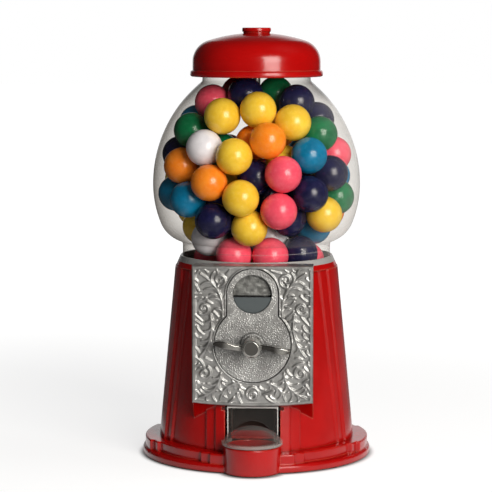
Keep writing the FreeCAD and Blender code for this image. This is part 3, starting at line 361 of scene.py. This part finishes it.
polished = {
    "bright": "#b3b1ac", "dull": "#4a4845", "hollowShade": "#1d1b19", "hub": "#5f5d5a",
    "hubR": 6.4, "capR": 4.3, "rimR": 5.7, "bevel": 0.9,
    # painted reflections: the wings' bright stretches, with the dull colour between them
    "reflectionPatches": [(-16.5, -5.5), (16.0, 21.3)], "soft": 2.6,  # bright stretches of the wings, from x to x
    "cloud": 8.0, "patchLeast": 0.6, "patchCloud": 0.4, "wave": 5.5, "waveDepth": 0.35, "rounding": 0.6,
    "hollow": 3.0, "hollowRange": (0.15, 0.8),
    "metal": 0.75, "rough": 0.12, "roughCloud": 0.08, "capRough": 0.2,
}


def polishedCasting():
    # painted reflections: bright and dark stretches along the wings, a bright ring on the hub's bevelled
    # rim and a darker cap
    paint = newFinish("polishedCasting")
    x, y, z = paint.axes()
    fromHub = (x * x + (z - reliefLayout["discZ"] * mm) ** 2) ** 0.5
    hub = fromHub < polished["hubR"] * mm
    cap = fromHub < polished["capR"] * mm
    bevel = paint.band(fromHub, polished["capR"] * mm, polished["rimR"] * mm)
    cloud = paint.noise(polished["cloud"], detail=2)
    wave = paint.noise(polished["wave"], detail=1)
    # painted highlight on the hub's bevel ring, and painted reflections along the wings
    bright = hub - cap
    soft = polished["soft"] * mm
    for low, high in polished["reflectionPatches"]:
        begun = paint.band(x, low * mm - soft, low * mm + soft)
        ended = paint.band(x, high * mm - soft, high * mm + soft)
        bright = bright.orElse((begun - ended) * (polished["patchLeast"] + polished["patchCloud"] * cloud))
    shade = paint.mix(bright, polished["dull"], polished["bright"])
    shade = paint.mix(cap, shade, polished["hub"])
    # painted shade in the hollows round the wings and hub
    hollowShade = paint.band(paint.hollows(polished["hollow"]), *polished["hollowRange"])
    shade = paint.mix(hollowShade, shade, polished["hollowShade"])
    height = wave * (1 - hub) * polished["waveDepth"] - bevel * hub * polished["bevel"]
    rough = polished["rough"] + polished["roughCloud"] * cloud + polished["capRough"] * cap
    return paint.finish(paint.skin(baseColor=shade, metallic=polished["metal"], roughness=rough,
                                   normal=paint.bump(height, 1.0, paint.softEdge(polished["rounding"]))))


brushed = {
    "looks": {  # bright, dull, roughness, length of the brush marks
        "dullSteel": ("#a9a8a4", "#85847f", 0.3, 12.0),
        "tinPlate": ("#b4b3ae", "#96958f", 0.38, 20.0),
    },
    "cloud": 7.0, "cloudRange": (0.3, 0.75), "roughCloud": 0.15, "mark": 0.3, "markDepth": 0.02,
    "edge": "#e6e5e2", "worn": 0.3, "wornShare": 0.5, "rounding": 0.25,
}


def brushedMetal(name):
    bright, dull, rough, length = brushed["looks"][name]
    paint = newFinish(name)
    cloud = paint.noise(brushed["cloud"], detail=3)
    across = 1 / (brushed["mark"] * mm)
    stretch = paint.add("CombineXYZ", None, {0: 1 / (length * mm), 1: across, 2: across})
    marks = paint.add("TexNoise", None, {"Vector": paint.where() * stretch, "Scale": 1.0, "Detail": 2.0})
    shade = paint.mix(paint.band(cloud, *brushed["cloudRange"]), dull, bright)
    shade = paint.mix(paint.edges(brushed["worn"]) * brushed["wornShare"], shade, brushed["edge"])
    normal = paint.bump(marks, brushed["markDepth"], paint.softEdge(brushed["rounding"]))
    roughness = rough + brushed["roughCloud"] * cloud
    return paint.finish(paint.skin(baseColor=shade, metallic=1.0, roughness=roughness, normal=normal))


plastic = {
    "looks": {  # colour, shadow, roughness, depth of the grain
        "collarPlastic": ("#9d9c9a", "#8d8d8b", 0.22, 0.02),
        "chutePlastic": ("#382a26", "#150f0e", 0.42, 0.03),
        "blackPlastic": ("#1a1a1b", "#0a0a0b", 0.42, 0.03),
        "whitePlastic": ("#d9d7d0", "#8d8b85", 0.4, 0.02),
        "rubber": ("#242424", "#101010", 0.7, 0.05),
    },
    "paintLines": {"collarPlastic": 128.0, "chutePlastic": 22.5},  # height up to which it took the enamel
    "cloud": 14.0, "cloudRange": (0.4, 0.8), "cloudShare": 0.25, "roughCloud": 0.12,
    "hollow": 4.0, "hollowShadeShare": 0.8, "grain": 0.7, "rounding": 0.3,
}


def plasticSkin(paint, colour, shadow, rough, grainDepth):
    cloud = paint.noise(plastic["cloud"], detail=2)
    grain = paint.noise(plastic["grain"], detail=2)
    # painted shade: hollows darkened towards the shadow colour
    shade = paint.mix(paint.hollows(plastic["hollow"]) * plastic["hollowShadeShare"], colour, shadow)
    shade = paint.mix(paint.band(cloud, *plastic["cloudRange"]) * plastic["cloudShare"], shade, shadow)
    normal = paint.bump(grain, grainDepth, paint.softEdge(plastic["rounding"]))
    return paint.skin(baseColor=shade, roughness=rough + plastic["roughCloud"] * cloud, normal=normal)


def mouldedPlastic(name):
    paint = newFinish(name)
    return paint.finish(plasticSkin(paint, *plastic["looks"][name]))


def sprayedPlastic(name):
    # plastic that took the body's enamel below a line
    paint = newFinish(name)
    sprayed = paint.axes()[2] < plastic["paintLines"][name] * mm
    plain = plasticSkin(paint, *plastic["looks"][name])
    return paint.finish(paint.blend(sprayed, plain, enamelSkin(paint)))


doorLook = {
    "film": "#b5b2af", "tint": "#eeebe9", "edge": "#d2cecb", "edgeRough": 0.3,
    "half": 16.2, "slack": 0.1, "sideZ": 19.5, "topZ": 39.7, "line": 0.62, "flangeZ": 19.9, "flange": 0.26,
    "least": 0.03, "most": 0.62, "fade": 3.8,
    "cloud": 12.0, "rough": 0.06, "roughCloud": 0.08, "wave": 9.0, "waveDepth": 0.04, "hinge": 4.0,
}
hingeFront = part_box("chute_door")[1].y - doorLook["hinge"] * mm


def doorSkin():
    # clear moulded sheet whose cut edges scatter light; their pale lines, and the pale band on the flange,
    # are partly a painted highlight
    paint = newFinish("doorPlastic")
    x, y, z = paint.axes()
    aside = (x * x) ** 0.5
    upright = (z > doorLook["sideZ"] * mm) * (y > hingeFront)
    flap = upright * (aside < (doorLook["half"] + doorLook["slack"]) * mm)
    sides = flap * (aside > (doorLook["half"] - doorLook["line"]) * mm)
    top = flap * (z > doorLook["topZ"] * mm)
    flange = (z < doorLook["flangeZ"] * mm) * doorLook["flange"]
    # painted highlight, partly scattering: pale lines along the flap's sides and top and a pale band at the
    # flange
    cut = sides.orElse(top).orElse(flange)
    rough = doorLook["rough"] + doorLook["roughCloud"] * paint.noise(doorLook["cloud"], detail=3)
    wave = paint.bump(paint.noise(doorLook["wave"], detail=1), doorLook["waveDepth"])
    film = paint.skin(baseColor=hexColour(doorLook["film"]), roughness=rough, normal=wave)
    share = doorLook["least"] + (doorLook["most"] - doorLook["least"]) * paint.outline() ** doorLook["fade"]
    sheet = paint.blend(share, paint.clear(doorLook["tint"]), film)
    frostedHighlight = paint.skin(baseColor=hexColour(doorLook["edge"]), roughness=doorLook["edgeRough"])
    return paint.finish(paint.blend(cut, sheet, frostedHighlight))


globeLook = {
    "middle": (0, axisY, 0.178), "film": "#57524e", "litFilm": "#eeebe7", "litReach": 60.0,
    "most": 0.5, "filmFade": 3.0, "tint": "#f2f0ed", "shade": "#aaa6a1", "shadeFade": 2.0,
    "seamZ": 136.0, "seamHalf": 0.3, "seamShare": 0.15,
    "neckLow": 226.0, "neckHigh": 240.0, "neck": "#3b3735", "neckShare": 0.5,
    "cloud": 18.0, "rough": 0.06, "roughCloud": 0.06, "wave": 24.0, "waveDepth": 0.05,
}


def globeSkin():
    # blown glass with a slight wall, clear in the middle, with a grey film that thickens towards its
    # outline; the film is painted pale on the key lamp's side and dark away from it, with painted shade
    # under the lid and along the outline away from the lamp
    paint = newFinish("globeGlass")
    geometry = paint.add("NewGeometry").socket.node.outputs
    normal, behind = Wire(paint, geometry["Normal"]), Wire(paint, geometry["Backfacing"])
    outward = paint.add("VectorMath", {"operation": "SUBTRACT"}, {0: paint.where(), 1: globeLook["middle"]})
    along = paint.add("VectorMath", {"operation": "DOT_PRODUCT"}, {0: normal, 1: outward}, "Value")
    outer = along * (1 - 2 * behind) > 0  # the outer face of the wall, from either side
    x, y, z = paint.axes()
    # painted light: the film paler towards the key lamp and darker away from it
    lit = paint.band(x, -globeLook["litReach"] * mm, globeLook["litReach"] * mm)  # 1 on the key lamp's side
    # painted shade under the lid: a darker and thicker film
    neck = paint.band(z, globeLook["neckLow"] * mm, globeLook["neckHigh"] * mm)  # dark under the lid
    fromSeam = z - globeLook["seamZ"] * mm
    seam = (fromSeam * fromSeam) ** 0.5 < globeLook["seamHalf"] * mm  # the mould's joint line on the neck
    outline = paint.outline()
    grey = paint.mix(lit, globeLook["film"], globeLook["litFilm"])
    grey = paint.mix(neck, grey, globeLook["neck"])
    rough = globeLook["rough"] + globeLook["roughCloud"] * paint.noise(globeLook["cloud"], detail=3)
    wave = paint.bump(paint.noise(globeLook["wave"], detail=1), globeLook["waveDepth"])
    film = paint.skin(baseColor=grey, roughness=rough, normal=wave)
    # painted shade: a darker tint along the outline away from the key lamp
    shaded = (1 - lit) * outline ** globeLook["shadeFade"]
    tint = paint.blend(shaded, paint.clear(globeLook["tint"]), paint.clear(globeLook["shade"]))
    most = globeLook["most"] + neck * globeLook["neckShare"]
    share = most * outline ** globeLook["filmFade"] + globeLook["seamShare"] * seam
    wall = paint.blend(share, tint, film)
    looked = 1 - paint.rays("Shadow").orElse(paint.rays("Diffuse"))  # the wall casts no shadow
    return paint.finish(paint.blend(outer * looked, paint.clear("#ffffff"), wall))


candy = {
    "blotch": 9.0, "blotchRange": (0.3, 0.75), "blotchHeight": 0.7,
    "mottle": 2.2, "mottleRange": (0.45, 0.8), "mottleShare": 0.14, "mottleHeight": 0.08,
    "scuff": 1.1, "scuffRange": (0.66, 0.76), "scuffShare": 0.12, "scuffHeight": 0.03,
    "depth": 0.18, "rough": 0.17, "roughMottle": 0.12,
    "tones": {  # colour, scuffed, deep
        "yellow": ("#fbd244", "#fce294", "#f0c02f"), "pink": ("#fe5f75", "#fe9fab", "#f04e66"),
        "navy": ("#1b1b45", "#43436e", "#141436"), "green": ("#0d7a48", "#479c70", "#0a633b"),
        "orange": ("#ff9429", "#ffbc74", "#fb841b"), "blue": ("#0780ae", "#4ba9c8", "#066b93"),
        "white": ("#f4f2f8", "#fcfbfe", "#e4e1e8"), "red": ("#93121b", "#b14a51", "#7a0c14"),
    },
    "pocket": "yellow",
}


def candyShell(name, colour, pale, deep):
    # panned sugar: blotchy colour, small scuffs and a waxed shine
    paint = newFinish(name)
    blotch = paint.noise(candy["blotch"], detail=3, rough=0.6)
    mottle = paint.noise(candy["mottle"], detail=3)
    scuff = paint.band(paint.noise(candy["scuff"], detail=2), *candy["scuffRange"])
    shade = paint.mix(paint.band(blotch, *candy["blotchRange"]), deep, colour)
    shade = paint.mix(paint.band(mottle, *candy["mottleRange"]) * candy["mottleShare"], shade, pale)
    shade = paint.mix(scuff * candy["scuffShare"], shade, pale)
    height = blotch * candy["blotchHeight"] + mottle * candy["mottleHeight"] + scuff * candy["scuffHeight"]
    rough = candy["rough"] + candy["roughMottle"] * mottle
    normal = paint.bump(height, candy["depth"])
    return paint.finish(paint.skin(baseColor=shade, roughness=rough, normal=normal))


def dress(material, *names):
    for name in names:
        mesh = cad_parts[name].data
        mesh.materials.clear()
        mesh.materials.append(material)
        mesh.polygons.foreach_set("material_index", [0] * len(mesh.polygons))


# leaf scrolls cast in relief on the field of the coin plate, in mm as seen from the front
reliefLayout = {
    "discZ": 81.0, "discR": 24.0, "headZ": 113.0, "headR": 16.0, "windowR": 12.25,  # the keyhole boss
    "discStep": 2.4, "fieldStep": 1.0,  # from the plate's foremost face to the boss, and on to the field
    "half": 36.6, "low": 45.3, "sag": 2.35, "high": 129.3, "grid": 0.36, "back": 0.25, "tuck": 0.8,
    "seed": 11, "ridge": 0.95, "crown": 0.7, "ridgeReach": 2.0,
    "ground": 0.10, "groundLeast": 0.4, "groundSpread": 1.2, "groundTurns": 3,
    "rimPlace": 1.05, "rimHalf": 0.6, "rimHeight": 0.85, "rimCrown": 0.6,
    "beadHeight": 0.85, "beadWidth": 1.5, "beadCrown": 1.5,
    "leaves": [  # foot, tip, bend, reach of the fingers, fingers
        ((-19.0, 98.5), (-33.0, 126.0), -5.0, 9.0, 4), ((-26.5, 99.5), (-33.5, 73.0), 3.4, 6.0, 4),
        ((-20.0, 62.5), (-33.5, 47.0), 3.4, 8.0, 4), ((-9.0, 56.5), (-20.5, 45.6), -2.6, 5.6, 3),
    ],
    "stem": (1.1, 0.7, 1.0), "stemPoints": 17,  # half width at the foot and at the tip, height
    "finger": (1.15, 0.6, 0.9), "fingerPoints": 6, "fingerSpan": 13, "fingerBow": 0.2,
    "fingerLean": 58, "fingerClose": 14, "fingerStart": 0.22, "fingerSwell": 0.62,
    "scrolls": [  # middle, radius, first angle, turns
        ((-21.0, 122.0), 4.6, 260, 1.3), ((-31.0, 104.0), 4.2, 230, 1.2), ((-30.5, 62.5), 4.4, 60, -1.2),
        ((0.0, 49.0), 4.6, 90, 1.3),
    ],
    "coil": (1.05, 0.8, 1.0), "coilPoints": 26, "coilIn": 0.85,
    "blades": 6000, "bladeGap": 1.65, "bladeClear": 2.2, "leans": (-45, -45, -25, 40), "bladeSway": 22,
    "blade": (0.95, 0.6), "bladePoints": 9, "bladeLength": (3.0, 9.0), "bladeBow": 0.2,
    "bladeHeight": (0.7, 1.0),
}
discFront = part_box("coin_plate")[0].y + reliefLayout["discStep"] * mm
fieldFront = discFront + reliefLayout["fieldStep"] * mm


def keyholeGap(x, z):  # distance outside the keyhole boss
    plan = reliefLayout
    disc = np.hypot(x, z - plan["discZ"]) - plan["discR"]
    head = np.hypot(x, z - plan["headZ"]) - plan["headR"]
    neck = np.maximum(np.abs(x) - plan["headR"], np.maximum(plan["discZ"] - z, z - plan["headZ"]))
    return np.minimum(np.minimum(disc, head), neck)


def bowed(start, end, bow, count):  # points of a curve from start to end
    start, end = np.array(start, float), np.array(end, float)
    along = end - start
    side = np.array([-along[1], along[0]])
    share = np.linspace(0, 1, count)[:, None]
    return start + along * share + side * bow * 4 * share * (1 - share)


def leafStrokes(foot, tip, bend, reach, fingers):
    # a stem with curling fingers on both sides; a stroke is its path, half width at both ends and height
    plan = reliefLayout
    spine = bowed(foot, tip, bend / math.dist(foot, tip), plan["stemPoints"])
    strokes = [(spine, *plan["stem"])]
    for hand in (-1, 1):
        for k in range(fingers):
            part = k / fingers
            place = int(round(1 + plan["fingerSpan"] * part))
            ahead = spine[place + 2] - spine[place]
            opening = math.radians(plan["fingerLean"] - plan["fingerClose"] * part)
            lean = math.atan2(ahead[1], ahead[0]) + hand * opening
            length = reach * math.sin(math.pi * (plan["fingerStart"] + plan["fingerSwell"] * part))
            end = spine[place] + length * np.array([math.cos(lean), math.sin(lean)])
            path = bowed(spine[place], end, -plan["fingerBow"] * hand, plan["fingerPoints"])
            strokes.append((path, *plan["finger"]))
    return strokes


def scrollStroke(middle, radius, first, turns):
    plan = reliefLayout
    share = np.linspace(0, 1, plan["coilPoints"])
    turn = np.radians(first) + 2 * np.pi * turns * share
    reach = radius * (1 - plan["coilIn"] * share)
    path = np.array(middle) + np.stack([reach * np.cos(turn), reach * np.sin(turn)], 1)
    return [(path, *plan["coil"])]


def mirrored(strokes):
    return [(path * [-1, 1], first, last, high) for path, first, last, high in strokes]


def strokeHeights(x, z, strokes):  # highest ridge at each point of the grid
    plan = reliefLayout
    reach = plan["ridgeReach"]
    heights = np.zeros_like(x)
    for path, first, last, high in strokes:
        count = len(path) - 1
        for k in range(count):
            a, b = path[k], path[k + 1]
            close = ((x > min(a[0], b[0]) - reach) & (x < max(a[0], b[0]) + reach)
                     & (z > min(a[1], b[1]) - reach) & (z < max(a[1], b[1]) + reach))
            px, pz = x[close] - a[0], z[close] - a[1]
            dx, dz = b - a
            share = np.clip((px * dx + pz * dz) / max(dx * dx + dz * dz, 1e-9), 0, 1)
            half = first + (last - first) * (k + share) / count
            gap = np.hypot(px - share * dx, pz - share * dz)
            ridge = high * np.clip(1 - (gap / half) ** 2, 0, 1) ** plan["crown"]
            heights[close] = np.maximum(heights[close], ridge)
    return heights


def bladeStrokes(strokes):  # short bowed blades that fill the ground between the leaves
    plan = reliefLayout
    draw = random.Random(plan["seed"])
    taken = np.concatenate([path for path, first, last, high in strokes])
    made = []
    for number in range(plan["blades"]):
        x = draw.uniform(-plan["half"], plan["half"])
        z = draw.uniform(plan["low"], plan["high"])
        lean = draw.choice(plan["leans"])
        lean = math.radians(lean + draw.uniform(-plan["bladeSway"], plan["bladeSway"]))
        length = draw.uniform(*plan["bladeLength"])
        bow = draw.uniform(-plan["bladeBow"], plan["bladeBow"])
        ahead = 0.5 * length * np.array([math.cos(lean), math.sin(lean)])
        path = bowed(np.array([x, z]) - ahead, np.array([x, z]) + ahead, bow, plan["bladePoints"])
        free = np.hypot(*(path[:, None, :] - taken[None, :, :]).transpose(2, 0, 1)).min() > plan["bladeGap"]
        if free and keyholeGap(path[:, 0], path[:, 1]).min() > plan["bladeClear"]:
            made.append((path, *plan["blade"], draw.uniform(*plan["bladeHeight"])))
            taken = np.concatenate([taken, path])
    return made


def reliefStrokes():
    strokes = []
    for leaf in reliefLayout["leaves"]:
        strokes += leafStrokes(*leaf)
    for scroll in reliefLayout["scrolls"]:
        strokes += scrollStroke(*scroll)
    strokes += mirrored(strokes)
    return strokes + bladeStrokes(strokes)


def roughGround(shape, seed, turns):  # random heights, each turn evened out with those beside
    ground = np.random.default_rng(seed).random(shape)
    for turn in range(turns):
        ground = (ground + np.roll(ground, 1, 0) + np.roll(ground, 1, 1) + np.roll(ground, -1, 0)) / 4
    return ground


def heightSolid(name, x, z, front, back, keep):
    # a closed solid: a height field over the kept cells with a flat back
    rows, columns = x.shape
    behind = rows * columns
    faces = []
    for i in range(rows - 1):
        for j in range(columns - 1):
            if not keep[i, j]:
                continue
            ring = [i * columns + j, (i + 1) * columns + j, (i + 1) * columns + j + 1, i * columns + j + 1]
            faces.append(ring)
            faces.append([behind + k for k in reversed(ring)])
            sides = [(i, j - 1), (i + 1, j), (i, j + 1), (i - 1, j)]
            for edge, (ni, nj) in enumerate(sides):
                inside = 0 <= ni < rows - 1 and 0 <= nj < columns - 1 and keep[ni, nj]
                if not inside:
                    a, b = ring[edge], ring[(edge + 1) % 4]
                    faces.append([b, a, behind + a, behind + b])
    used = sorted({k for face in faces for k in face})
    place = {k: number for number, k in enumerate(used)}
    depth = np.concatenate([front.ravel(), np.full(behind, back)])
    points = [(x.flat[k % behind] * mm, depth[k], z.flat[k % behind] * mm) for k in used]
    mesh = bpy.data.meshes.new(name)
    mesh.from_pydata(points, [], [[place[k] for k in face] for face in faces])
    mesh.polygons.foreach_set("use_smooth", [True] * len(mesh.polygons))
    return mesh


def fixed(mesh, material):  # a piece that stays with the machine
    piece = bpy.data.objects.new(mesh.name, mesh)
    bpy.context.scene.collection.objects.link(piece)
    mesh.materials.append(material)
    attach(piece, "machine")
    print("piece:", mesh.name, len(mesh.polygons), "faces")


def addRelief():
    plan = reliefLayout
    xs = np.linspace(-plan["half"], plan["half"], int(2 * plan["half"] / plan["grid"]))
    ups = np.linspace(0, 1, int((plan["high"] - plan["low"]) / plan["grid"]))
    low = plan["low"] - plan["sag"] * (1 - (xs / plan["half"]) ** 2)
    x = np.repeat(xs[:, None], len(ups), 1)
    z = low[:, None] + (plan["high"] - low[:, None]) * ups[None, :]
    heights = strokeHeights(x, z, reliefStrokes()) * plan["ridge"]
    gap = keyholeGap(x, z)
    fromRim = (gap - plan["rimPlace"]) / plan["rimHalf"]
    rim = plan["rimHeight"] * np.clip(1 - fromRim ** 2, 0, 1) ** plan["rimCrown"]
    heights = np.where(gap < plan["rimPlace"], rim, np.maximum(heights, rim))
    ground = roughGround(x.shape, plan["seed"], plan["groundTurns"])
    heights = heights + plan["ground"] * (plan["groundLeast"] + plan["groundSpread"] * ground)
    border = np.minimum(plan["half"] - np.abs(x), np.minimum(plan["high"] - z, z - low[:, None]))
    bead = plan["beadHeight"] * np.clip(1 - border / plan["beadWidth"], 0, 1) ** plan["beadCrown"]
    heights = np.maximum(heights, bead)
    keep = gap[:-1, :-1] > -plan["tuck"]
    mesh = heightSolid("plateRelief", x, z, fieldFront - heights * mm, fieldFront + plan["back"] * mm, keep)
    fixed(mesh, reliefMetal())


# rough dark casting seen behind the coin slot
recess = {
    "radius": 13.2, "low": 110.2, "slotZ": 112.0, "grid": 0.5, "back": 0.06, "least": 0.12, "seed": 3,
    "lumps": 0.55, "lumpTurns": 6, "wornR": 10.5, "worn": 0.5, "wornCrown": 0.5,
    "bright": "#8a8a87", "dark": "#62625f", "slot": "#0d0d0d", "mottle": 3.2, "mottleRange": (0.35, 0.7),
    "grain": 0.8, "grainDepth": 0.15, "metal": 0.5, "rough": 0.5,
}


def recessMetal():
    paint = newFinish("recessMetal")
    mottle = paint.band(paint.noise(recess["mottle"], detail=3), *recess["mottleRange"])
    shade = paint.mix(mottle, recess["dark"], recess["bright"])
    # painted shadow: the gap below the slot line is painted near black
    slot = paint.axes()[2] < recess["slotZ"] * mm  # the dark gap that a coin drops into
    shade = paint.mix(slot, shade, recess["slot"])
    normal = paint.bump(paint.noise(recess["grain"], detail=2), recess["grainDepth"])
    return paint.finish(paint.skin(baseColor=shade, metallic=recess["metal"], roughness=recess["rough"],
                                   normal=normal))


def addRecess():
    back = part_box("mech_plate")[0].y - recess["back"] * mm
    middle = reliefLayout["headZ"]
    reach = recess["radius"]
    x, z = np.meshgrid(np.arange(-reach, reach, recess["grid"]),
                       np.arange(recess["low"], middle + reach, recess["grid"]), indexing="ij")
    lumps = roughGround(x.shape, recess["seed"], recess["lumpTurns"])
    lumps = (lumps - lumps.min()) / (lumps.max() - lumps.min())
    away = np.hypot(x, z - middle)
    worn = np.clip(1 - (away / recess["wornR"]) ** 2, 0, 1) ** recess["wornCrown"]  # a boss in the middle
    front = back - (recess["least"] + recess["lumps"] * lumps + recess["worn"] * worn) * mm
    mesh = heightSolid("slotRecess", x, z, front, back, away[:-1, :-1] < reach - recess["grid"])
    fixed(mesh, recessMetal())


addRelief()
addRecess()

dress(redEnamel(), "base_casting", "body_casting", "lid", "lid_knob")
dress(plateMetal(), "coin_plate")
dress(polishedCasting(), "handle")
dress(brushedMetal("dullSteel"), "handle_shaft", "coin_wheel", "ratchet_wheel", "drive_gear", "shaft_clip",
      "pawl", "pawl_pin", "pawl_spring", "mech_plate", "shaft_bushing", "coin_guide", "cover_screws",
      "body_screws", "plate_screws", "mech_screws", "chute_screws", "tie_rod", "base_nut")
dress(brushedMetal("tinPlate"), "bottom_cover")
dress(sprayedPlastic("collarPlastic"), "hopper")
dress(mouldedPlastic("blackPlastic"), "ball_guard")
dress(sprayedPlastic("chutePlastic"), "chute")
dress(mouldedPlastic("whitePlastic"), "gumball_wheel", "coin_plug")
dress(mouldedPlastic("rubber"), "rubber_feet", "globe_gasket", "lid_gasket")
dress(globeSkin(), "globe")
dress(doorSkin(), "chute_door")
for name, tones in candy["tones"].items():
    dress(candyShell("gum" + name.capitalize(), *tones), "gumballs_" + name)
dress(candyShell("gumPocket", *candy["tones"][candy["pocket"]]), "pocket_gumballs")
print("finishes: every solid dressed")
